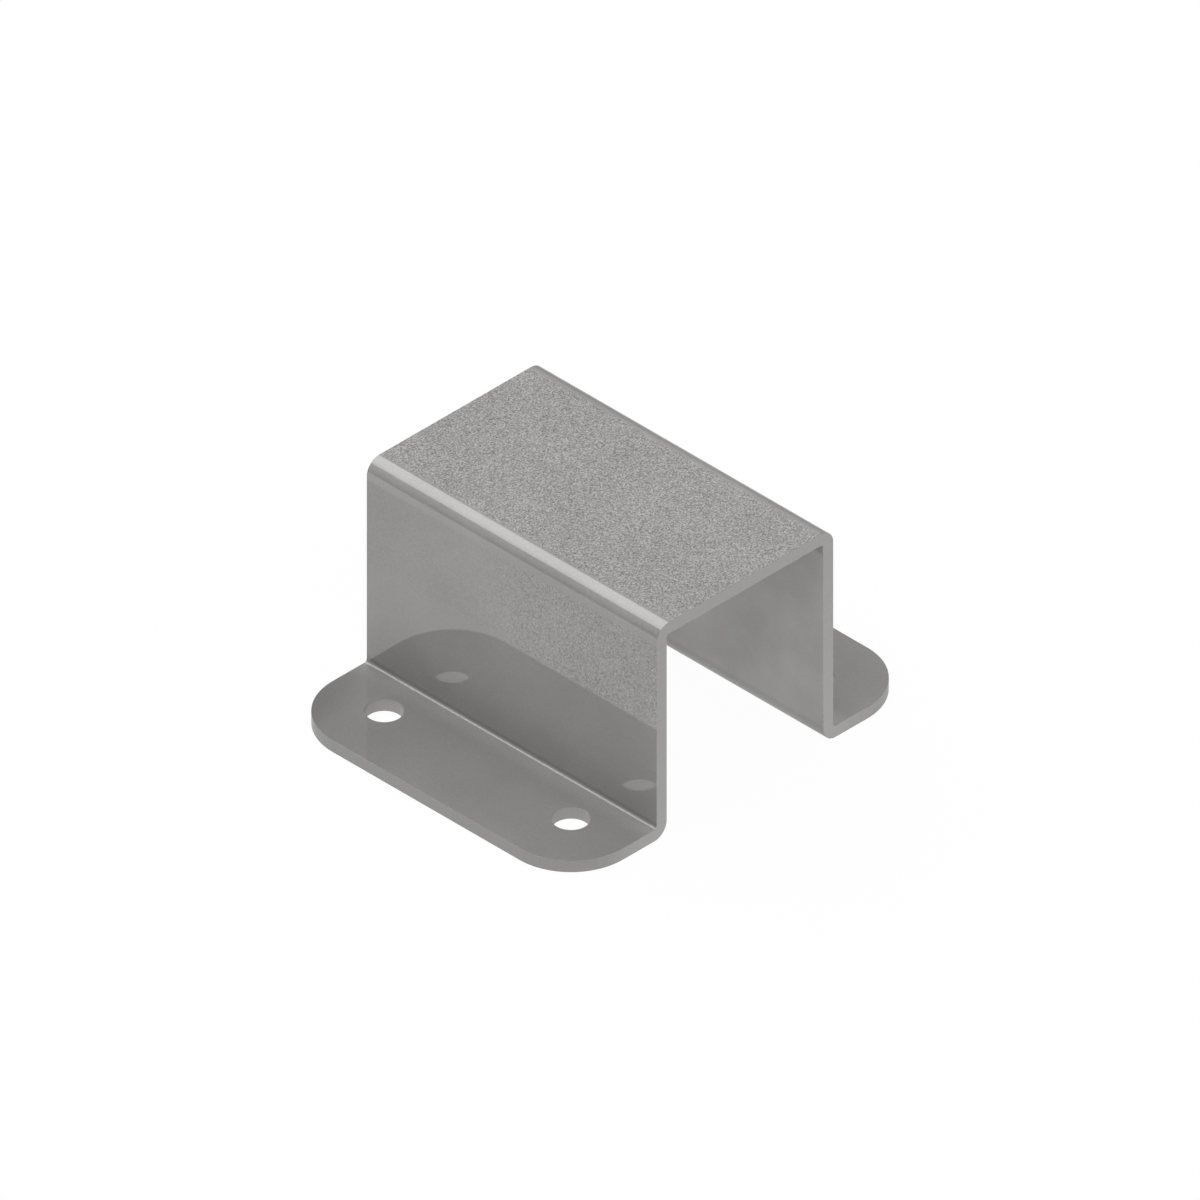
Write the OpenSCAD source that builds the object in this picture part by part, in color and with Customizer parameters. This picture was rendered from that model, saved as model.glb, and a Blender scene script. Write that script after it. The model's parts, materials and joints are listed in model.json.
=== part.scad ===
// Hat-section clamping bracket: one strip of steel sheet, cut, drilled and folded four times.
// The channel drops over a bar or tube, and four bolts through the feet pull it down.
// Origin: centre of the footprint, on the surface that the feet stand on.
// X runs across the feet, Y along the bends and Z up. Sizes are in millimetres.

/* [Sheet] */
// Thickness of the steel sheet
sheet_t = 4; // [2:0.5:6]
// Inside radius of all four bends
bend_r = 1; // [0.5:0.5:3]

/* [Channel] */
// Clear width between the two walls
channel_w = 62; // [30:1:160]
// Clear height from the mounting surface to the underside of the top
channel_h = 68.5; // [30:0.5:160]
// Length of the bracket along its bends
bracket_l = 115; // [90:1:300]

/* [Feet] */
// Width of a foot, from the outer face of its wall to its outer edge
foot_w = 34; // [32:1:80]
// Radius of the two outer corners of a foot
corner_r = 20.5; // [2:0.5:26]

/* [Bolt holes] */
// Diameter of the four bolt holes
hole_d = 11; // [5:0.5:14]
// From the centre of a hole to the nearest end of the bracket
hole_from_end = 20.5; // [15:0.5:35]
// From the centre of a hole to the outer edge of its foot
hole_from_edge = 20.5; // [12:0.5:22]

/* [Hidden] */
$fn = 96;

// How far a cutting shape stands out past the sheet, so that it cuts cleanly
CUT_PAST = 1;

// The radius of a bend on its stretched side
bend_out_r = bend_r + sheet_t;

// Flat stretches of the strip, from one bend's tangent line to the next
foot_flat = foot_w - bend_r;
wall_flat = channel_h - sheet_t - 2 * bend_r;
top_flat = channel_w - 2 * bend_r;

// Size over both feet
bracket_w = channel_w + 2 * (sheet_t + foot_w);

// The folded strip from one foot's edge to the other's: straight runs with their lengths, and
// right-angled bends to the left or the right
STRIP = [
    ["run", foot_flat],
    ["bend", "left"],
    ["run", wall_flat],
    ["bend", "right"],
    ["run", top_flat],
    ["bend", "right"],
    ["run", wall_flat],
    ["bend", "left"],
    ["run", foot_flat]
];

// A quarter ring that takes the strip from its course along +X round to the left, up to +Y.
// The strip's right face, on y = 0, is the stretched one.
module left_bend() {
    translate([0, bend_out_r])
        intersection() {
            difference() {
                circle(r = bend_out_r);
                circle(r = bend_r);
            }
            translate([0, -bend_out_r])
                square(bend_out_r);
        }
}

// The same quarter ring turned over: it takes the strip round to the right, down to -Y.
// The strip's right face, on y = 0, is then the hollow one.
module right_bend() {
    translate([0, sheet_t])
        mirror([0, 1])
            left_bend();
}

// The strip's edge view from piece i on. Each piece starts at the origin, lies above y = 0 and runs
// along +X, and the rest of the strip goes on from where it ends.
module strip_section(i = 0) {
    if (i < len(STRIP)) {
        kind = STRIP[i][0];
        amount = STRIP[i][1];
        if (kind == "run") {
            square([amount, sheet_t]);
            translate([amount, 0])
                strip_section(i + 1);
        } else if (amount == "left") {
            left_bend();
            translate([bend_out_r, bend_out_r])
                rotate(90)
                    strip_section(i + 1);
        } else {
            right_bend();
            translate([bend_r, -bend_r])
                rotate(-90)
                    strip_section(i + 1);
        }
    }
}

// The whole strip folded, with square corners and no holes
module folded_strip() {
    rotate([90, 0, 0])
        translate([-bracket_w / 2, 0, -bracket_l / 2])
            linear_extrude(height = bracket_l)
                strip_section();
}

// What lies outside the rounded corner of a foot, with the corner's point at the origin
module corner_offcut() {
    translate([-corner_r, -corner_r])
        difference() {
            square(corner_r + CUT_PAST);
            circle(r = corner_r);
        }
}

// The hole and the rounded corner at the +X and +Y end of a foot
module foot_cuts() {
    translate([bracket_w / 2, bracket_l / 2, -CUT_PAST])
        linear_extrude(height = sheet_t + 2 * CUT_PAST) {
            corner_offcut();
            translate([-hole_from_edge, -hole_from_end])
                circle(d = hole_d);
        }
}

module bracket() {
    color([0.62, 0.62, 0.61])
        difference() {
            folded_strip();
            for (other_foot = [0, 1], other_end = [0, 1])
                mirror([other_foot, 0, 0])
                    mirror([0, other_end, 0])
                        foot_cuts();
        }
}

bracket();
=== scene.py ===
"""The clamping bracket with its satin steel finish, on a plain pale floor under soft studio light.

The bracket is one strip of sheet steel. A geometry nodes tree lays out its flat blank, with the
rounded corners and the bolt holes, gives it the sheet's thickness and folds it on four bend lines.
Every length is in metres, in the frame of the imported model: X across the feet, Y along the bends
and Z up from the surface that the feet stand on.
"""

import json
import logging
import math
from dataclasses import dataclass

import bpy
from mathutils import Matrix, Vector

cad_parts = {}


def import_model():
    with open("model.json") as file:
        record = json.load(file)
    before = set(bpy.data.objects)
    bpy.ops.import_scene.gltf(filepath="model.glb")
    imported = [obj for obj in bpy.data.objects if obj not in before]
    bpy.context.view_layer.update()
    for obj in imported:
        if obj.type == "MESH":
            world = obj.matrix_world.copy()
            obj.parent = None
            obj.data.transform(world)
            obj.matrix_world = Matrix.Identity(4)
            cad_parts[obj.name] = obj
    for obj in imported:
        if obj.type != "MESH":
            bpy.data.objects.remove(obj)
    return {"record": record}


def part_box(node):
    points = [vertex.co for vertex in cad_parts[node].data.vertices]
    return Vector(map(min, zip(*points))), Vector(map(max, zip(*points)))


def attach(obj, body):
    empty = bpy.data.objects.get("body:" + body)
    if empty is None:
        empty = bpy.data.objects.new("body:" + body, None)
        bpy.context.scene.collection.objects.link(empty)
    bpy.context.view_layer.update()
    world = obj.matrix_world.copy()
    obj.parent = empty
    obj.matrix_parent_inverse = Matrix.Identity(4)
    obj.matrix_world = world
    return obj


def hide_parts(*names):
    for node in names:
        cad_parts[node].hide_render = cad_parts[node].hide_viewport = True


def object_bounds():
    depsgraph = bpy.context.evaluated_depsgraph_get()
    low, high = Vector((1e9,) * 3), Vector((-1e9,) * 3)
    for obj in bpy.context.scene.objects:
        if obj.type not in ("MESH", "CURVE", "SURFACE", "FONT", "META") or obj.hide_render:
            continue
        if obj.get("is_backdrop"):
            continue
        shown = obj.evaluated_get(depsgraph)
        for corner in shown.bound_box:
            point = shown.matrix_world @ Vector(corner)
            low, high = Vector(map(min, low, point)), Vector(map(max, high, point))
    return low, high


LOG = logging.getLogger("clamping_bracket")

BODY = "root"
CAD_NODE = "bracket"

# Attributes that the sheet's mesh carries for its finish
BLANK_PLACE = "blank_place"
CUT_FACE = "cut_face"

# Mesh points closer than this are one point
MERGE_DISTANCE = 1e-6

MM_PER_M = 1000

Colour = tuple[float, float, float]
Direction = tuple[float, float, float]
Span = tuple[float, float]


class NodeTree:
    """A thin layer over a node tree of any kind, to add and join nodes in few words."""

    def __init__(self, tree: bpy.types.NodeTree) -> None:
        """Takes over a tree.

        Args:
            tree: the node tree that nodes are added to.
        """
        self.tree = tree

    def add(self, kind: str, inputs: dict | None = None, **settings: object) -> bpy.types.Node:
        """Adds one node.

        Args:
            kind: Blender's type name of the node.
            inputs: input sockets by name or number, each with a value or a socket to link from.
            settings: the node's own properties, such as operation.

        Returns:
            The new node.
        """
        made = self.tree.nodes.new(kind)
        for name, value in settings.items():
            setattr(made, name, value)
        for name, value in (inputs or {}).items():
            self.feed(made.inputs[name], value)
        return made

    def feed(self, socket: bpy.types.NodeSocket, value: object) -> None:
        """Links a socket to another one, or sets its value.

        Args:
            socket: the input socket.
            value: an output socket, a node whose first output is meant, or a plain value.
        """
        if isinstance(value, bpy.types.Node):
            value = value.outputs[0]
        if isinstance(value, bpy.types.NodeSocket):
            self.tree.links.new(value, socket)
        else:
            socket.default_value = value

    def math(self, operation: str, *values: object) -> bpy.types.NodeSocket:
        """Adds a Math node.

        Args:
            operation: Blender's name of the operation, such as MULTIPLY.
            values: up to three numbers or sockets.

        Returns:
            The result's socket.
        """
        return self.add("ShaderNodeMath", dict(enumerate(values)), operation=operation).outputs[0]

    def product(self, first: object, *others: object) -> object:
        """Multiplies two or more factors, with one Math node for each after the first.

        Args:
            first: a number or socket.
            others: the numbers or sockets that it is multiplied by.

        Returns:
            The result's socket.
        """
        result = first
        for other in others:
            result = self.math("MULTIPLY", result, other)
        return result

    def fade(self, value: object, span: Span, ends: Span = (0.0, 1.0)) -> bpy.types.NodeSocket:
        """Adds a Map Range node with a smooth step.

        Args:
            value: the number or socket that drives it.
            span: the value where it starts and the one where it is done.
            ends: the results there.

        Returns:
            The result's socket.
        """
        limits = {
            "Value": value,
            "From Min": span[0],
            "From Max": span[1],
            "To Min": ends[0],
            "To Max": ends[1],
        }
        made = self.add("ShaderNodeMapRange", limits, interpolation_type="SMOOTHSTEP")
        return made.outputs["Result"]

    def vector_math(self, operation: str, *values: object) -> bpy.types.NodeSocket:
        """Adds a Vector Math node.

        Args:
            operation: Blender's name of the operation, such as ADD.
            values: up to three vectors or sockets.

        Returns:
            The resulting vector's socket.
        """
        made = self.add("ShaderNodeVectorMath", dict(enumerate(values)), operation=operation)
        return made.outputs[0]

    def combine(self, x: object = 0.0, y: object = 0.0, z: object = 0.0) -> bpy.types.NodeSocket:
        """Makes a vector of three numbers or sockets."""
        return self.add("ShaderNodeCombineXYZ", {0: x, 1: y, 2: z}).outputs[0]


def new_group(name: str, kind: str, takes: dict[str, str], gives: dict[str, str]) -> NodeTree:
    """Makes an empty node group with named sockets.

    Args:
        name: the group's name.
        kind: GeometryNodeTree or ShaderNodeTree.
        takes: the input sockets, as name to socket type without the NodeSocket prefix.
        gives: the output sockets, in the same form.

    Returns:
        The group's tree.
    """
    tree = bpy.data.node_groups.new(name, kind)
    for in_out, sockets in (("INPUT", takes), ("OUTPUT", gives)):
        for socket_name, socket_type in sockets.items():
            tree.interface.new_socket(
                socket_name, in_out=in_out, socket_type=f"NodeSocket{socket_type}"
            )
    return NodeTree(tree)


@dataclass
class FoldedSheet:
    """The bracket itself: one strip of sheet steel with four folds.

    Attributes:
        thickness: the sheet's thickness.
        channel_width: clear width between the walls.
        channel_height: from the mounting surface to the underside of the top.
        length: the bracket's length along its bends.
        foot_width: from a wall's outer face to its foot's outer edge.
        hole_radius: radius of the bolt holes.
        hole_from_end: from a hole's centre to the bracket's end.
        hole_from_edge: from a hole's centre to its foot's outer edge.
        corner_radius: radius of the feet's outer corners.
        bend_radius: inside radius of the bends.
        edge_break: width of the narrow rounding that takes the sharpness off every cut edge.
        edge_angle: the least angle, in degrees, of an edge that gets this rounding.
        edge_segments: flat facets in the mesh of this rounding.
        panel_weight: how strongly the large faces draw the shading at their edges to their own,
            where 50 is evenly and 100 wholly.
        bend_segments: flat facets in the mesh of one bend.
        corner_segments: flat facets in the mesh of one rounded corner.
        hole_segments: flat facets in the mesh of one bolt hole.
    """

    thickness: float
    channel_width: float
    channel_height: float
    length: float
    foot_width: float
    hole_radius: float
    hole_from_end: float
    hole_from_edge: float
    corner_radius: float = 0.0205
    bend_radius: float = 0.001
    edge_break: float = 0.0001
    edge_angle: float = 40.0
    edge_segments: int = 3
    panel_weight: int = 100
    bend_segments: int = 24
    corner_segments: int = 32
    hole_segments: int = 72

    @classmethod
    def from_frame(cls, record: dict) -> "FoldedSheet":
        """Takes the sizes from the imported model's box and mounts.

        Args:
            record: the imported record.

        Returns:
            The sheet at its real size.
        """
        low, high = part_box(CAD_NODE)
        mounts = {mount["name"]: mount for mount in record["mounts"]}
        wall_x = mounts["channel_right_wall"]["pos_m"][0]
        roof_z = mounts["channel_roof"]["pos_m"][2]
        holes = mounts["foot_bolts"]["dims"]
        thickness = high.z - roof_z
        return cls(
            thickness=thickness,
            channel_width=2 * wall_x,
            channel_height=roof_z,
            length=high.y - low.y,
            foot_width=high.x - wall_x - thickness,
            hole_radius=holes["hole_r_mm"] / MM_PER_M,
            hole_from_end=high.y - holes["spacing_y_mm"] / 2 / MM_PER_M,
            hole_from_edge=high.x - holes["spacing_x_mm"] / 2 / MM_PER_M,
        )

    @property
    def bend_flat_width(self) -> float:
        """The width that one bend takes up in the flat blank, measured in mid-sheet."""
        return math.pi / 2 * (self.bend_radius + self.thickness / 2)

    @property
    def wall_flat(self) -> float:
        """The flat height of a wall between its two bends."""
        return self.channel_height - self.thickness - 2 * self.bend_radius

    @property
    def half_top_flat(self) -> float:
        """Half the flat width of the top."""
        return self.channel_width / 2 - self.bend_radius

    @property
    def foot_flat(self) -> float:
        """The flat width of a foot, outside its bend."""
        return self.foot_width - self.bend_radius

    def fold_group(self) -> NodeTree:
        """Builds the node group that folds one side of the blank round one bend line.

        Returns:
            The group. It turns Place about the bend's axis, which lies at Start and Centre Height,
            by as much of Turn as Flat Across has passed of the bend's Flat Width.
        """
        group = new_group(
            "fold_on_bend_line",
            "GeometryNodeTree",
            {
                "Place": "Vector",
                "Flat Across": "Float",
                "Start": "Float",
                "Flat Width": "Float",
                "Centre Height": "Float",
                "Turn": "Float",
            },
            {"Place": "Vector"},
        )
        given = group.add("NodeGroupInput").outputs
        passed = group.math("SUBTRACT", given["Flat Across"], given["Start"])
        share = group.add(
            "ShaderNodeMapRange",
            {"Value": passed, "From Max": given["Flat Width"]},
        ).outputs["Result"]
        taken_up = group.combine(x=group.product(share, given["Flat Width"]))
        turned = group.add(
            "ShaderNodeVectorRotate",
            {
                "Vector": group.vector_math("SUBTRACT", given["Place"], taken_up),
                "Center": group.combine(x=given["Start"], z=given["Centre Height"]),
                "Axis": (0.0, -1.0, 0.0),
                "Angle": group.product(share, given["Turn"]),
            },
            rotation_type="AXIS_ANGLE",
        )
        group.add("NodeGroupOutput", {"Place": turned})
        return group

    def blank_group(self) -> NodeTree:
        """Builds the node group that lays out the flat blank as one skin on z = 0.

        Returns:
            The group. Its mesh has edges along the bend lines and closely spaced ones in the bends.
        """
        group = new_group(
            "flat_blank",
            "GeometryNodeTree",
            {
                "Half Top Flat": "Float",
                "Bend Flat Width": "Float",
                "Wall Flat": "Float",
                "Foot Flat": "Float",
                "Length": "Float",
                "Corner Radius": "Float",
                "Hole Radius": "Float",
                "Hole From End": "Float",
                "Hole From Edge": "Float",
                "Bend Segments": "Int",
                "Corner Segments": "Int",
                "Hole Segments": "Int",
            },
            {"Mesh": "Geometry"},
        )
        given = group.add("NodeGroupInput").outputs
        length = given["Length"]
        bend_lines = group.math("ADD", given["Bend Segments"], 1)

        def panel(start: object, width: object, lines: object = 2) -> bpy.types.Node:
            """Lays a plain rectangle of the blank.

            Args:
                start: where it begins across the blank.
                width: its size across the blank.
                lines: how many lines along the blank it has, with its two edges.

            Returns:
                The node whose first output is its mesh.
            """
            grid = group.add(
                "GeometryNodeMeshGrid",
                {"Size X": width, "Size Y": length, "Vertices X": lines, "Vertices Y": 2},
            )
            middle = group.math("MULTIPLY_ADD", width, 0.5, start)
            shift = {"Geometry": grid.outputs["Mesh"], "Translation": group.combine(x=middle)}
            return group.add("GeometryNodeTransform", shift)

        top_bend_start = given["Half Top Flat"]
        wall_start = group.math("ADD", top_bend_start, given["Bend Flat Width"])
        foot_bend_start = group.math("ADD", wall_start, given["Wall Flat"])
        foot_start = group.math("ADD", foot_bend_start, given["Bend Flat Width"])

        side = group.add("GeometryNodeJoinGeometry")
        for piece in (
            panel(top_bend_start, given["Bend Flat Width"], bend_lines),
            panel(wall_start, given["Wall Flat"]),
            panel(foot_bend_start, given["Bend Flat Width"], bend_lines),
            self._foot_panel(group, given, foot_start),
        ):
            group.tree.links.new(piece.outputs[0], side.inputs[0])

        other_side = group.add("GeometryNodeTransform", {"Geometry": side, "Scale": (-1, 1, 1)})
        top_width = group.product(given["Half Top Flat"], 2)
        whole = group.add("GeometryNodeJoinGeometry")
        for piece in (
            side,
            group.add("GeometryNodeFlipFaces", {"Mesh": other_side}),
            panel(group.product(top_width, -0.5), top_width),
        ):
            group.tree.links.new(piece.outputs[0], whole.inputs[0])
        merged = group.add(
            "GeometryNodeMergeByDistance", {"Geometry": whole, "Distance": MERGE_DISTANCE}
        )
        group.add("NodeGroupOutput", {"Mesh": merged})
        return group

    @staticmethod
    def _foot_panel(
        group: NodeTree, given: bpy.types.NodeOutputs, start: bpy.types.NodeSocket
    ) -> bpy.types.Node:
        """Adds the foot's part of the blank, with its two rounded corners and its two holes.

        Args:
            group: the blank's node group.
            given: the group's inputs.
            start: where the foot begins across the blank.

        Returns:
            The node whose first output is the foot's mesh.
        """
        outline = group.add(
            "GeometryNodeCurvePrimitiveQuadrilateral",
            {"Width": given["Foot Flat"], "Height": given["Length"]},
        )
        place = group.add("ShaderNodeSeparateXYZ", {0: group.add("GeometryNodeInputPosition")})
        outer = group.math("GREATER_THAN", place.outputs["X"], 0.0)
        rounded = group.add(
            "GeometryNodeFilletCurve",
            {
                "Curve": outline,
                "Count": given["Corner Segments"],
                "Radius": group.product(outer, given["Corner Radius"]),
            },
            mode="POLY",
        )
        half_width = group.product(given["Foot Flat"], 0.5)
        half_length = group.product(given["Length"], 0.5)
        hole_x = group.math("SUBTRACT", half_width, given["Hole From Edge"])
        hole_y = group.math("SUBTRACT", half_length, given["Hole From End"])
        centres = group.add(
            "GeometryNodeMeshLine",
            {
                "Count": 2,
                "Start Location": group.combine(hole_x, group.product(hole_y, -1)),
                "Offset": group.combine(y=group.product(hole_y, 2)),
            },
        )
        circle = group.add(
            "GeometryNodeCurvePrimitiveCircle",
            {"Resolution": given["Hole Segments"], "Radius": given["Hole Radius"]},
        )
        holes = group.add("GeometryNodeInstanceOnPoints", {"Points": centres, "Instance": circle})
        lines = group.add("GeometryNodeJoinGeometry")
        for curve in (rounded, group.add("GeometryNodeRealizeInstances", {0: holes})):
            group.tree.links.new(curve.outputs[0], lines.inputs[0])
        plate = group.add("GeometryNodeFillCurve", {"Curve": lines}, mode="NGONS")
        middle = group.math("ADD", start, half_width)
        shift = {"Geometry": plate, "Translation": group.combine(x=middle)}
        return group.add("GeometryNodeTransform", shift)

    def sheet_tree(self) -> NodeTree:
        """Builds the whole tree: blank, thickness, four folds and the steel on it.

        Returns:
            The tree, for a modifier.
        """
        blank = self.blank_group()
        fold = self.fold_group()
        sizes = {
            item.name: item.socket_type.removeprefix("NodeSocket")
            for item in blank.tree.interface.items_tree
            if item.in_out == "INPUT"
        }
        sheet = new_group(
            "folded_sheet",
            "GeometryNodeTree",
            {
                **sizes,
                "Thickness": "Float",
                "Bend Radius": "Float",
                "Roof Height": "Float",
                "Steel": "Material",
            },
            {"Geometry": "Geometry"},
        )
        given = sheet.add("NodeGroupInput").outputs
        skin = sheet.add(
            "GeometryNodeGroup", {name: given[name] for name in sizes}, node_tree=blank.tree
        )

        # The skin is the underside. It is copied up by the thickness, and its edges are walled in.
        raised = sheet.add(
            "GeometryNodeExtrudeMesh",
            {"Mesh": skin, "Offset Scale": given["Thickness"], "Individual": False},
        )
        rims = sheet.add(
            "GeometryNodeStoreNamedAttribute",
            {"Geometry": raised.outputs["Mesh"], "Name": CUT_FACE, "Value": raised.outputs["Side"]},
            domain="FACE",
        )
        plate = sheet.add("GeometryNodeJoinGeometry")
        for piece in (rims, sheet.add("GeometryNodeFlipFaces", {"Mesh": skin})):
            sheet.tree.links.new(piece.outputs[0], plate.inputs[0])
        closed = sheet.add(
            "GeometryNodeMergeByDistance", {"Geometry": plate, "Distance": MERGE_DISTANCE}
        )
        flat_place = sheet.add("GeometryNodeInputPosition").outputs[0]
        marked = sheet.add(
            "GeometryNodeStoreNamedAttribute",
            {"Geometry": closed, "Name": BLANK_PLACE, "Value": flat_place},
            data_type="FLOAT_VECTOR",
        )

        # Both sides fold alike, so the folds work on the distance from the middle line.
        flat = sheet.add("ShaderNodeSeparateXYZ", {0: flat_place}).outputs
        across = sheet.math("ABSOLUTE", flat["X"])
        to_wall = sheet.math("ADD", given["Half Top Flat"], given["Bend Flat Width"])
        foot_bend_start = sheet.math("ADD", to_wall, given["Wall Flat"])
        above = sheet.math("ADD", given["Thickness"], given["Bend Radius"])
        below = sheet.product(given["Bend Radius"], -1)
        place = sheet.combine(across, flat["Y"], flat["Z"])
        for start, centre_height, turn in (
            (foot_bend_start, above, math.pi / 2),
            (given["Half Top Flat"], below, -math.pi / 2),
        ):
            place = sheet.add(
                "GeometryNodeGroup",
                {
                    "Place": place,
                    "Flat Across": across,
                    "Start": start,
                    "Flat Width": given["Bend Flat Width"],
                    "Centre Height": centre_height,
                    "Turn": turn,
                },
                node_tree=fold.tree,
            ).outputs[0]
        side_sign = sheet.combine(sheet.math("SIGN", flat["X"]), 1.0, 1.0)
        folded = sheet.add(
            "GeometryNodeSetPosition",
            {
                "Geometry": marked,
                "Position": sheet.vector_math("MULTIPLY", place, side_sign),
                "Offset": sheet.combine(z=given["Roof Height"]),
            },
        )
        smooth = sheet.add("GeometryNodeSetShadeSmooth", {"Geometry": folded})
        real = sheet.add("GeometryNodeRealizeInstances", {0: smooth})
        dressed = sheet.add(
            "GeometryNodeSetMaterial", {"Geometry": real, "Material": given["Steel"]}
        )
        sheet.add("NodeGroupOutput", {"Geometry": dressed})
        return sheet

    def build(self, steel: bpy.types.Material) -> bpy.types.Object:
        """Makes the bracket's finished mesh.

        Args:
            steel: the sheet's material.

        Returns:
            The piece, at the origin with its place in its mesh.
        """
        maker = bpy.data.objects.new("sheet_maker", bpy.data.meshes.new("sheet_maker"))
        bpy.context.scene.collection.objects.link(maker)
        tree = self.sheet_tree().tree
        values = {
            "Half Top Flat": self.half_top_flat,
            "Bend Flat Width": self.bend_flat_width,
            "Wall Flat": self.wall_flat,
            "Foot Flat": self.foot_flat,
            "Length": self.length,
            "Corner Radius": self.corner_radius,
            "Hole Radius": self.hole_radius,
            "Hole From End": self.hole_from_end,
            "Hole From Edge": self.hole_from_edge,
            "Bend Segments": self.bend_segments,
            "Corner Segments": self.corner_segments,
            "Hole Segments": self.hole_segments,
            "Thickness": self.thickness,
            "Bend Radius": self.bend_radius,
            "Roof Height": self.channel_height,
            "Steel": steel,
        }
        folding = maker.modifiers.new("folding", "NODES")
        folding.node_group = tree
        for item in tree.interface.items_tree:
            if item.in_out == "INPUT":
                folding[item.identifier] = values[item.name]

        edges = maker.modifiers.new("edge_break", "BEVEL")
        edges.width = self.edge_break
        edges.segments = self.edge_segments
        edges.limit_method = "ANGLE"
        edges.angle_limit = math.radians(self.edge_angle)
        edges.loop_slide = False
        normals = maker.modifiers.new("flat_panel_normals", "WEIGHTED_NORMAL")
        normals.weight = self.panel_weight

        graph = bpy.context.evaluated_depsgraph_get()
        mesh = bpy.data.meshes.new_from_object(
            maker.evaluated_get(graph), preserve_all_data_layers=True, depsgraph=graph
        )
        bpy.data.objects.remove(maker)
        mesh.name = "folded_sheet"
        piece = bpy.data.objects.new("folded_sheet", mesh)
        bpy.context.scene.collection.objects.link(piece)
        return piece


@dataclass(frozen=True)
class SheetZones:
    """The parts of the folded sheet where the grain differs a little and where shade and light are
    painted into the colour, told apart in its flat blank.

    Each span says where a part's share starts to rise from 0 and where it reaches 1, measured
    outwards across the blank, in metres.

    Attributes:
        sheet: the sheet's sizes.
        top_edge: span of the top, from its bend line.
        wall_top: span of the upper wall, from the upper end of its flat.
        wall_middle: span of the upper wall, from as high up as the foot is wide.
        wall_low: span of the lowest part of the wall, from the lower end of its flat.
        foot_edge: span of the foot with its bend, from the same line.
        crease_in: span of the crease on the wall's side, from the same line.
        crease_out: span of the crease on the foot's side, from the same line.
        root_in: start of the root, from the same line. It is whole where the foot's flat begins.
        root_out: span of the root on the flat foot, from there.
        foot_end: span of the foot's back end along the sheet, from that end.
        front: span of the front part of a wall, as shares of the sheet's length from its middle.
        least_front: the front part's share at the back.
    """

    sheet: FoldedSheet
    top_edge: Span = (0.0003, -0.001)
    wall_top: Span = (0.0, 0.002)
    wall_middle: Span = (0.0035, -0.0015)
    wall_low: Span = (-0.018, 0.0)
    foot_edge: Span = (-0.002, 0.0)
    crease_in: Span = (-0.0015, -0.0002)
    crease_out: Span = (0.0018, 0.0006)
    root_in: float = 0.0015
    root_out: Span = (0.007, 0.0)
    foot_end: Span = (-0.0175, 0.0)
    front: Span = (0.22, -0.13)
    least_front: float = 0.2

    def group(self) -> NodeTree:
        """Builds the node group that gives each part's share at a place of the blank.

        Returns:
            The group. Top and Foot are 1 on the outside of those panels, Wall is 1 on the upper
            front part of a wall, Inner is 1 on the sheet's inner face, Rim rises to 1 at a foot's
            outer edge, Root beside its bend, Crease where its wall runs into that bend, Back at
            the back ends of the walls, Corner at the outer corners of the feet at the back, End at
            their back ends, High and Low in the upper and the lowest parts of the walls, and Under
            on the feet's underside.
        """
        zones = (
            "Top", "Wall", "Foot", "Inner", "Rim", "Root", "Crease", "Back", "Corner", "End",
            "High", "Low", "Under",
        )
        group = new_group(
            "sheet_zones", "ShaderNodeTree", {"Place": "Vector"}, dict.fromkeys(zones, "Float")
        )
        given = group.add("NodeGroupInput").outputs
        flat = group.add("ShaderNodeSeparateXYZ", {0: given["Place"]}).outputs
        across = group.math("ABSOLUTE", flat["X"])
        along = flat["Y"]

        def part(
            line: float, span: Span, value: bpy.types.NodeSocket = across
        ) -> bpy.types.NodeSocket:
            """Rises smoothly from 0 to 1 over a span that is measured from a line."""
            return group.fade(value, (line + span[0], line + span[1]))

        sheet = self.sheet
        back_end = sheet.length / 2
        wall_start = sheet.half_top_flat + sheet.bend_flat_width
        wall_end = wall_start + sheet.wall_flat
        foot_start = wall_end + sheet.bend_flat_width

        outer = group.math("GREATER_THAN", flat["Z"], sheet.thickness / 2)
        inner = group.math("SUBTRACT", 1.0, outer)
        on_foot = part(wall_end, self.foot_edge)
        above_feet = group.math("SUBTRACT", 1.0, on_foot)
        below_bend = part(wall_start, self.wall_top)
        above_foot = part(wall_end - sheet.foot_width, self.wall_middle)
        high = group.product(below_bend, above_foot, outer)
        front = group.fade(along, tuple(share * sheet.length for share in self.front))
        back = group.fade(along, (0.0, back_end))
        rim = part(wall_end, (0.0, sheet.foot_width))
        in_bend = group.fade(across, (wall_end + self.root_in, foot_start))
        crease = group.product(part(wall_end, self.crease_in), part(wall_end, self.crease_out))
        # Top and Wall set where the grain is stronger; the other shares set where the steel's
        # colour carries painted shade and painted light
        shares = {
            "Top": group.product(part(sheet.half_top_flat, self.top_edge), outer),
            "Wall": group.product(high, group.math("MAXIMUM", front, self.least_front)),
            "Foot": group.product(on_foot, outer),
            "Inner": inner,
            "Rim": rim,
            "Root": group.product(part(foot_start, self.root_out), in_bend, outer),
            "Crease": group.product(crease, outer),
            "Back": group.product(back, below_bend, above_feet),
            "Corner": group.product(back, rim),
            "End": group.product(part(back_end, self.foot_end, along), on_foot),
            "High": high,
            "Low": group.product(part(wall_end, self.wall_low), above_feet),
            "Under": group.product(on_foot, inner),
        }
        group.add("NodeGroupOutput", shares)
        return group


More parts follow.
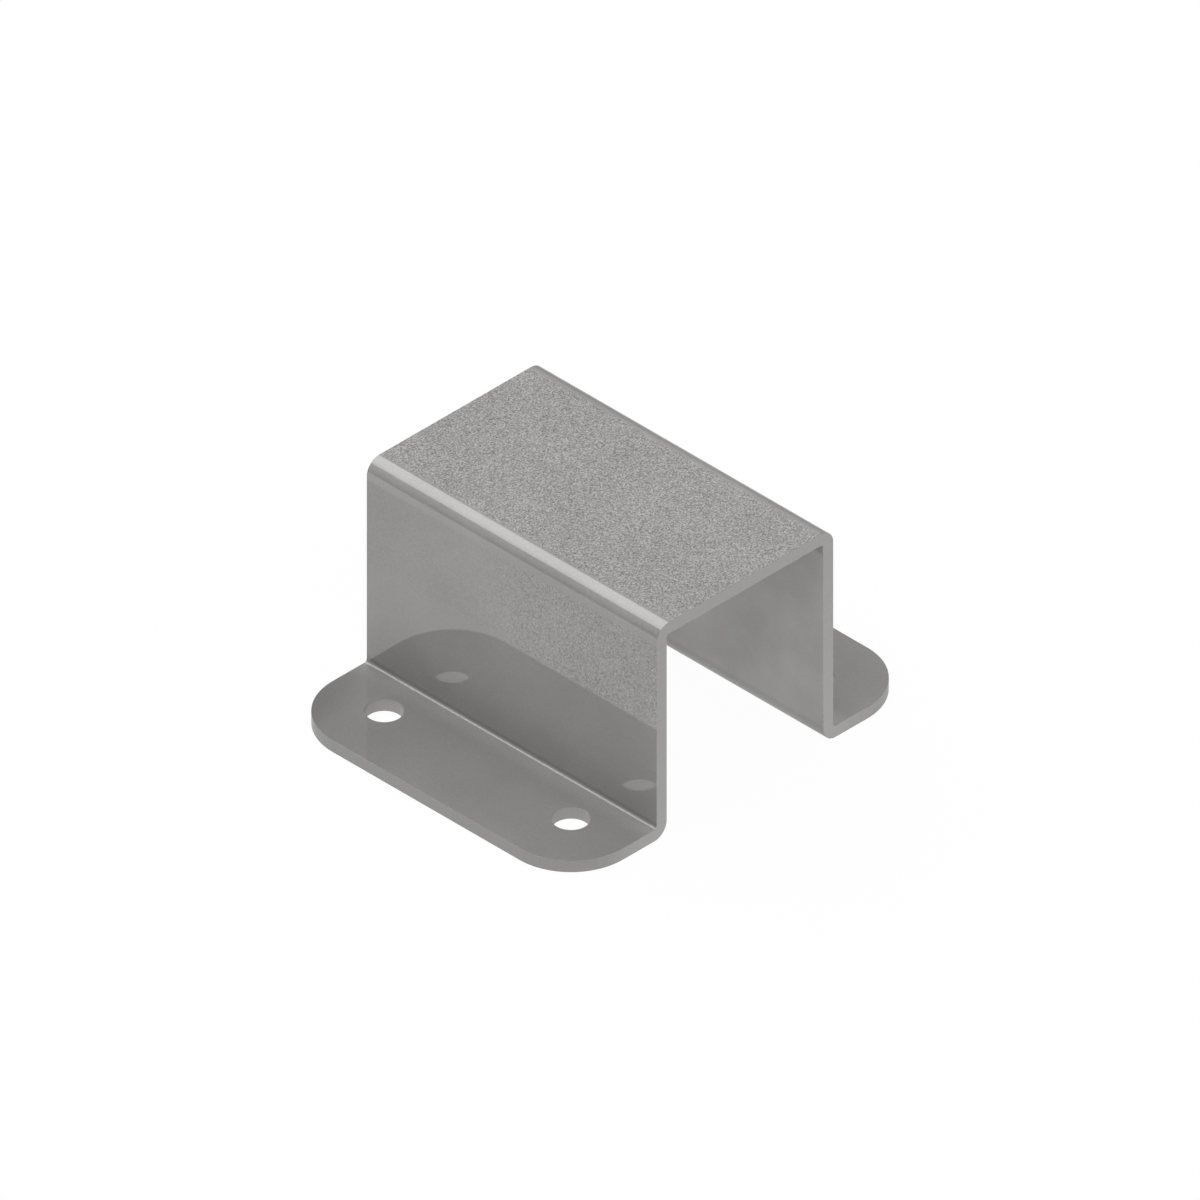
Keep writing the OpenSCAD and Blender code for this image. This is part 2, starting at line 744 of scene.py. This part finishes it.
@dataclass(frozen=True)
class SatinSteel:
    """Bare rolled sheet steel: a matt metal with a fine grain under a thin glassy skin of oxide,
    whose colour also carries painted shade and painted light part by part.

    Attributes:
        colour: the steel's own colour.
        roughness: of the steel under its skin.
        foot_painted_shade: painted shade that darkens the feet against the top and the walls, for
            the wall's shade on them.
        rim_painted_shade: painted shade that darkens the feet towards their outer edges against the
            rest of the feet.
        root_tone: painted light that brightens a foot beside its bend against the rest of the foot.
        crease_painted_shade: painted shade, a dark line where a wall runs into its foot's bend.
        back_painted_shade: painted shade that darkens the back ends of the walls against their
            middle.
        corner_painted_shade: painted shade that darkens the feet's rounded corners at the back
            against their middle.
        end_painted_shade: painted shade that darkens the feet's back ends against the rest of them.
        high_painted_shade: painted shade that darkens the walls' upper parts outside.
        low_painted_shade: painted shade that darkens the walls low down, above the feet.
        under_painted_shade: painted shade that darkens the feet's underside and the bends that lead
            to it.
        inner_painted_light: painted light that brightens the sheet's inner face against its outer
            one.
        cut_tone: brightness of the cut faces.
        edge_painted_shade: painted shade that darkens the cut faces at the feet's outer edges
            against the other ones.
        skin_weight: how much of the surface the skin covers.
        skin_roughness: of the skin's surface.
        skin_index: the skin's refractive index.
        grain_size: width of one grain.
        top_grain: how far the grain varies the colour on the top.
        wall_grain: how far it varies the colour at the front ends of the walls.
        panel_grain: how far it varies the colour elsewhere.
        skin_grain: how far it thins and thickens the skin at the front ends of the walls.
        grain_depth: height of the grain's relief.
        cloud_size: width of the faint clouds left by rolling.
        cloud_depth: how far the clouds vary the colour.
        inner_clouds: how much stronger they are on the sheet's inner face.
        stria_size: width of the fine lines that the cutting left on the edges.
        stria_run: how fast they change through the sheet, as a share of how fast along the edge.
        stria_depth: how far these lines vary the colour.
    """

    colour: Colour = (0.439, 0.435, 0.424)
    roughness: float = 0.85
    foot_painted_shade: float = 0.933
    rim_painted_shade: float = 0.9
    root_tone: float = 1.2
    crease_painted_shade: float = 0.78
    back_painted_shade: float = 0.89
    corner_painted_shade: float = 0.8
    end_painted_shade: float = 0.82
    high_painted_shade: float = 0.965
    low_painted_shade: float = 0.89
    under_painted_shade: float = 0.78
    inner_painted_light: float = 1.06
    cut_tone: float = 1.005
    edge_painted_shade: float = 0.8
    skin_weight: float = 0.3
    skin_roughness: float = 0.04
    skin_index: float = 3.5
    grain_size: float = 0.00048
    top_grain: float = 1.7
    wall_grain: float = 1.0
    panel_grain: float = 0.2
    skin_grain: float = 0.7
    grain_depth: float = 0.00001
    cloud_size: float = 0.024
    cloud_depth: float = 0.2
    inner_clouds: float = 2.8
    stria_size: float = 0.0006
    stria_run: float = 0.03
    stria_depth: float = 0.12

    @staticmethod
    def _noise_group() -> NodeTree:
        """Builds the node group for noise on the flat blank.

        Returns:
            The group. It gives a value about 0, whose features are as wide as Feature Size.
        """
        group = new_group(
            "blank_noise",
            "ShaderNodeTree",
            {"Place": "Vector", "Feature Size": "Float", "Detail": "Float"},
            {"Value": "Float"},
        )
        given = group.add("NodeGroupInput").outputs
        noise = group.add(
            "ShaderNodeTexNoise",
            {
                "Vector": given["Place"],
                "Scale": group.math("DIVIDE", 1.0, given["Feature Size"]),
                "Detail": given["Detail"],
            },
        )
        centred = group.math("SUBTRACT", noise.outputs["Fac"], 0.5)
        group.add("NodeGroupOutput", {"Value": centred})
        return group

    def _tone(
        self,
        tree: NodeTree,
        zones: bpy.types.NodeOutputs,
        grain: bpy.types.NodeSocket,
        clouds: bpy.types.NodeSocket,
        striae: bpy.types.NodeSocket,
    ) -> bpy.types.NodeSocket:
        """Adds the nodes for how bright the steel is against its own colour.

        The rolled faces have the grain, the clouds and painted shade and light part by part, and
        the cut ones the fine lines with painted shade towards the feet's outer edges.

        Args:
            tree: the material's tree.
            zones: the shares of the sheet's parts.
            grain: what the grain adds.
            clouds: the noise of the clouds.
            striae: the noise of the fine lines.

        Returns:
            The brightness's socket.
        """

        def level_in(zone: str, level: float) -> bpy.types.NodeSocket:
            """Gives a factor that goes from 1 to a level with a zone's share."""
            return tree.math("MULTIPLY_ADD", zones[zone], level - 1.0, 1.0)

        cloud_reach = tree.product(level_in("Inner", self.inner_clouds), self.cloud_depth)
        rolled = tree.math("ADD", grain, tree.math("MULTIPLY_ADD", clouds, cloud_reach, 1.0))
        # Painted shade and painted light: each part of the sheet is made darker or lighter to stand
        # in for the shade and light that fall there
        painted_light_and_shade = {
            "Foot": self.foot_painted_shade,
            "Rim": self.rim_painted_shade,
            "Root": self.root_tone,
            "Crease": self.crease_painted_shade,
            "Back": self.back_painted_shade,
            "Corner": self.corner_painted_shade,
            "End": self.end_painted_shade,
            "High": self.high_painted_shade,
            "Low": self.low_painted_shade,
            "Under": self.under_painted_shade,
            "Inner": self.inner_painted_light,
        }
        for zone, level in painted_light_and_shade.items():
            rolled = tree.product(rolled, level_in(zone, level))
        sawn = tree.math("MULTIPLY_ADD", striae, self.stria_depth, self.cut_tone)
        # Painted shade: the cut faces get darker towards the feet's outer edges
        sawn = tree.product(sawn, level_in("Rim", self.edge_painted_shade))
        cut = tree.add("ShaderNodeAttribute", attribute_name=CUT_FACE).outputs["Fac"]
        return tree.add("ShaderNodeMix", {"Factor": cut, "A": rolled, "B": sawn}).outputs["Result"]

    def material(self, sheet: FoldedSheet) -> bpy.types.Material:
        """Builds the material with its node tree.

        Args:
            sheet: the sheet that it goes on, whose parts differ a little.

        Returns:
            The material.
        """
        made = bpy.data.materials.new("satin_steel")
        made.use_nodes = True
        made.node_tree.nodes.clear()
        tree = NodeTree(made.node_tree)
        noise = self._noise_group()
        place = tree.add("ShaderNodeAttribute", attribute_name=BLANK_PLACE).outputs["Vector"]
        zones = tree.add(
            "ShaderNodeGroup", {"Place": place}, node_tree=SheetZones(sheet).group().tree
        ).outputs

        def noise_of(where: object, size: float, detail: float) -> bpy.types.NodeSocket:
            """Adds noise on the sheet.

            Args:
                where: the place's socket.
                size: width of the noise's features.
                detail: how many finer layers it has.

            Returns:
                The noise's socket.
            """
            return tree.add(
                "ShaderNodeGroup",
                {"Place": where, "Feature Size": size, "Detail": detail},
                node_tree=noise.tree,
            ).outputs["Value"]

        grain = noise_of(place, self.grain_size, detail=1.0)
        clouds = noise_of(place, self.cloud_size, detail=3.0)
        through_sheet = tree.vector_math("MULTIPLY", place, (1.0, 1.0, self.stria_run))
        striae = noise_of(through_sheet, self.stria_size, detail=2.0)

        reach = tree.math("MULTIPLY_ADD", zones["Top"], self.top_grain, self.panel_grain)
        reach = tree.math("MULTIPLY_ADD", zones["Wall"], self.wall_grain, reach)
        grain_part = tree.product(grain, reach)
        colour = tree.vector_math("SCALE", self.colour)
        tree.feed(colour.node.inputs["Scale"], self._tone(tree, zones, grain_part, clouds, striae))

        # The skin is patchier towards the front ends of the walls
        skin_reach = tree.product(zones["Wall"], self.skin_grain)
        skin = tree.math("MULTIPLY_ADD", grain, skin_reach, self.skin_weight)

        relief = tree.add(
            "ShaderNodeBump",
            {"Height": grain_part, "Distance": self.grain_depth, "Strength": 1.0},
        )
        shader = tree.add(
            "ShaderNodeBsdfPrincipled",
            {
                "Base Color": colour,
                "Metallic": 1.0,
                "Roughness": self.roughness,
                "Normal": relief,
                "Coat Weight": skin,
                "Coat Roughness": self.skin_roughness,
                "Coat IOR": self.skin_index,
            },
        )
        tree.add("ShaderNodeOutputMaterial", {"Surface": shader})
        return made


@dataclass(frozen=True)
class SoftBox:
    """A rectangular studio lamp.

    Attributes:
        name: the lamp's name.
        towards: the direction from the bracket to the lamp.
        radiance: the brightness of its face, where 1 is white.
        distance: how far off it stands.
        width: its size along the ground.
        height: its other size.
        fades: the share of its width over which it gets brighter, from its left end and from its
            right end as the bracket sees them.
        ends: the brightness of its left and right end, as a share of the middle's.
    """

    name: str
    towards: Direction
    radiance: float
    distance: float = 4.0
    width: float = 2.5
    height: float = 2.5
    fades: Span = (0.0, 0.0)
    ends: Span = (1.0, 1.0)

    def build(self) -> bpy.types.Object:
        """Makes the lamp, turned to face the bracket.

        Returns:
            The lamp.
        """
        light = bpy.data.lights.new(self.name, "AREA")
        light.shape = "RECTANGLE"
        light.size = self.width
        light.size_y = self.height
        light.energy = self.radiance * math.pi * self.width * self.height
        if any(self.fades):
            self._dim_ends(light)
        lamp = bpy.data.objects.new(self.name, light)
        direction = Vector(self.towards).normalized()
        lamp.location = direction * self.distance
        lamp.rotation_euler = direction.to_track_quat("Z", "Y").to_euler()
        lamp.visible_camera = False
        bpy.context.scene.collection.objects.link(lamp)
        return lamp

    def _dim_ends(self, light: bpy.types.Light) -> None:
        """Dims the lamp's two ends.

        Args:
            light: the lamp's data.
        """
        light.use_nodes = True
        light.node_tree.nodes.clear()
        tree = NodeTree(light.node_tree)
        face = tree.add("ShaderNodeNewGeometry").outputs["Parametric"]
        along = tree.add("ShaderNodeSeparateXYZ", {0: face}).outputs["X"]
        from_ends = (along, tree.math("SUBTRACT", 1.0, along))
        strength = 1.0
        for inwards, fade, end in zip(from_ends, self.fades, self.ends):
            strength = tree.product(tree.fade(inwards, (0.0, fade), (end, 1.0)), strength)
        shader = tree.add("ShaderNodeEmission", {"Strength": strength})
        tree.add("ShaderNodeOutputLight", {"Surface": shader})


@dataclass
class Studio:
    """The plain pale floor, the surroundings, the lamps and the camera.

    Attributes:
        floor_half: half the floor's width.
        floor_drop: how far the floor lies below the feet, so that no faces lie in each other.
        floor_colour: the floor's grey under the lamps, where 1 is white.
        floor_glow: the share of plain white in the floor, where it shows as background.
        pale_reach: how far out the floor is pale for all but the camera; further out it is as dark
            as the horizon.
        surroundings: brightness of the room's walls and ceiling, where 1 is white.
        horizon: brightness where the walls meet the floor.
        horizon_rise: between which heights the room goes over from one to the other. The floor
            lies at 0 and the zenith at 1.
        underfloor: the height below which the room is white.
        dark_towards: the direction from the bracket to a dark patch low in the room.
        dark_reach: how far from there it is quite dark, and how far it reaches, in degrees.
        lamps: the soft lamps.
        azimuth: where the camera stands, in degrees; 0 looks along +Y and 90 along -X.
        elevation: the camera's height above the horizon, in degrees.
        camera_distance: from the middle of the bracket to the camera.
        view_width: width of the square picture at the bracket.
    """

    floor_half: float = 6.0
    floor_drop: float = 0.00005
    floor_colour: float = 0.9
    floor_glow: float = 0.97
    pale_reach: float = 0.55
    surroundings: float = 0.416
    horizon: float = 0.2
    horizon_rise: Span = (0.08, 0.35)
    underfloor: float = -0.02
    dark_towards: Direction = (1.41, 1.0, 0.12)
    dark_reach: Span = (10.0, 30.0)
    lamps: tuple[SoftBox, ...] = (
        SoftBox(
            "back_lamp",
            towards=(0.059, 1.0, 1.24),
            radiance=2.25,
            distance=6.0,
            width=7.46,
            height=5.4,
            fades=(0.15, 0.33),
            ends=(0.0, 0.8),
        ),
        SoftBox("left_lamp", towards=(-1.0, 0.0, 1.2), radiance=1.5),
        SoftBox("left_front_lamp", towards=(-1.0, -1.0, 0.8), radiance=1.25),
        SoftBox("front_lamp", towards=(0.3, -1.0, 0.4), radiance=2.2),
    )
    azimuth: float = -45.0
    elevation: float = math.degrees(math.asin(1 / math.sqrt(3)))
    camera_distance: float = 2.0
    view_width: float = 0.33632

    def build(self, middle: Vector) -> None:
        """Makes the whole studio round the bracket.

        Args:
            middle: the middle of the bracket's box, which the camera looks at.
        """
        bpy.context.scene.view_settings.view_transform = "Standard"
        self._surroundings()
        self._floor()
        for lamp in self.lamps:
            lamp.build()
        self._camera(middle)

    def _surroundings(self) -> None:
        """Makes the room round the floor pale grey, darker low down and dark in one patch.

        Below the floor it is white, for the views that start there.
        """
        world = bpy.data.worlds.new("surroundings")
        world.use_nodes = True
        world.node_tree.nodes.clear()
        tree = NodeTree(world.node_tree)
        direction = tree.add("ShaderNodeTexCoord").outputs["Generated"]
        height = tree.add("ShaderNodeSeparateXYZ", {0: direction}).outputs["Z"]
        brightness = tree.fade(height, self.horizon_rise, (self.horizon, self.surroundings))
        dark_middle = tuple(Vector(self.dark_towards).normalized())
        nearness = tree.add(
            "ShaderNodeVectorMath", {0: direction, 1: dark_middle}, operation="DOT_PRODUCT"
        ).outputs["Value"]
        patch_span = tuple(math.radians(reach) for reach in self.dark_reach)
        outside_patch = tree.fade(tree.math("ARCCOSINE", nearness), patch_span)
        room = tree.product(brightness, outside_patch)
        below = tree.math("LESS_THAN", height, self.underfloor)
        shader = tree.add(
            "ShaderNodeBackground",
            {"Color": (1.0, 1.0, 1.0, 1.0), "Strength": tree.math("MAXIMUM", room, below)},
        )
        tree.add("ShaderNodeOutputWorld", {"Surface": shader})
        bpy.context.scene.world = world

    def _floor_material(self) -> bpy.types.Material:
        """Makes the floor's material, which shows as white and keeps the bracket's shadow.

        It can be seen through from below.

        Returns:
            The material.
        """
        made = bpy.data.materials.new("pale_floor")
        made.use_nodes = True
        made.node_tree.nodes.clear()
        tree = NodeTree(made.node_tree)
        grey = (self.floor_colour, self.floor_colour, self.floor_colour, 1.0)
        shaded = tree.add("ShaderNodeBsdfDiffuse", {"Color": grey})
        white = tree.add("ShaderNodeEmission", {"Strength": 1.0})
        path = tree.add("ShaderNodeLightPath").outputs
        mirrored = tree.math("MAXIMUM", path["Is Glossy Ray"], path["Is Transmission Ray"])
        background = tree.math("MAXIMUM", path["Is Camera Ray"], mirrored)
        glow = tree.product(background, self.floor_glow)
        lit = tree.add("ShaderNodeMixShader", {0: glow, 1: shaded, 2: white})
        place = tree.add("ShaderNodeTexCoord").outputs["Object"]
        distance = tree.add("ShaderNodeVectorMath", {0: place}, operation="LENGTH").outputs["Value"]
        far_off = tree.math("GREATER_THAN", distance, self.pale_reach)
        unseen = tree.math("SUBTRACT", 1.0, path["Is Camera Ray"])
        dim = tree.add("ShaderNodeEmission", {"Strength": self.horizon})
        dimmed = tree.product(far_off, unseen)
        whole = tree.add("ShaderNodeMixShader", {0: dimmed, 1: lit, 2: dim})
        below = tree.add("ShaderNodeNewGeometry").outputs["Backfacing"]
        clear = tree.add("ShaderNodeBsdfTransparent")
        shader = tree.add("ShaderNodeMixShader", {0: below, 1: whole, 2: clear})
        tree.add("ShaderNodeOutputMaterial", {"Surface": shader})
        return made

    def _floor(self) -> None:
        """Lays the large floor just below the feet."""
        half = self.floor_half
        mesh = bpy.data.meshes.new("floor")
        corners = [(-half, -half, 0), (half, -half, 0), (half, half, 0), (-half, half, 0)]
        mesh.from_pydata(corners, [], [(0, 1, 2, 3)])
        mesh.materials.append(self._floor_material())
        floor = bpy.data.objects.new("floor", mesh)
        floor.location.z = -self.floor_drop
        bpy.context.scene.collection.objects.link(floor)
        floor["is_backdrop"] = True

    def _camera(self, middle: Vector) -> None:
        """Sets up the camera without perspective, as the picture has it.

        Args:
            middle: the point that it looks at.
        """
        data = bpy.data.cameras.new("camera")
        data.type = "ORTHO"
        data.ortho_scale = self.view_width
        turn = math.radians(self.azimuth)
        rise = math.radians(self.elevation)
        back = Vector(
            (math.sin(turn) * math.cos(rise), -math.cos(turn) * math.cos(rise), math.sin(rise))
        )
        camera = bpy.data.objects.new("camera", data)
        camera.location = middle + back * self.camera_distance
        camera.rotation_euler = back.to_track_quat("Z", "Y").to_euler()
        bpy.context.scene.collection.objects.link(camera)
        bpy.context.scene.camera = camera


def main() -> None:
    """Builds the bracket and the studio, and reports each piece."""
    logging.basicConfig(level=logging.INFO, format="%(name)s: %(message)s")
    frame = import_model()
    cad_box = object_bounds()

    sheet = FoldedSheet.from_frame(frame["record"])
    piece = sheet.build(SatinSteel().material(sheet))
    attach(piece, BODY)
    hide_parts(CAD_NODE)
    LOG.info("%s: %d faces", piece.name, len(piece.data.polygons))

    low, high = cad_box
    Studio().build((low + high) / 2)
    LOG.info("studio: floor, lamps and camera")


if __name__ == "__main__":
    main()
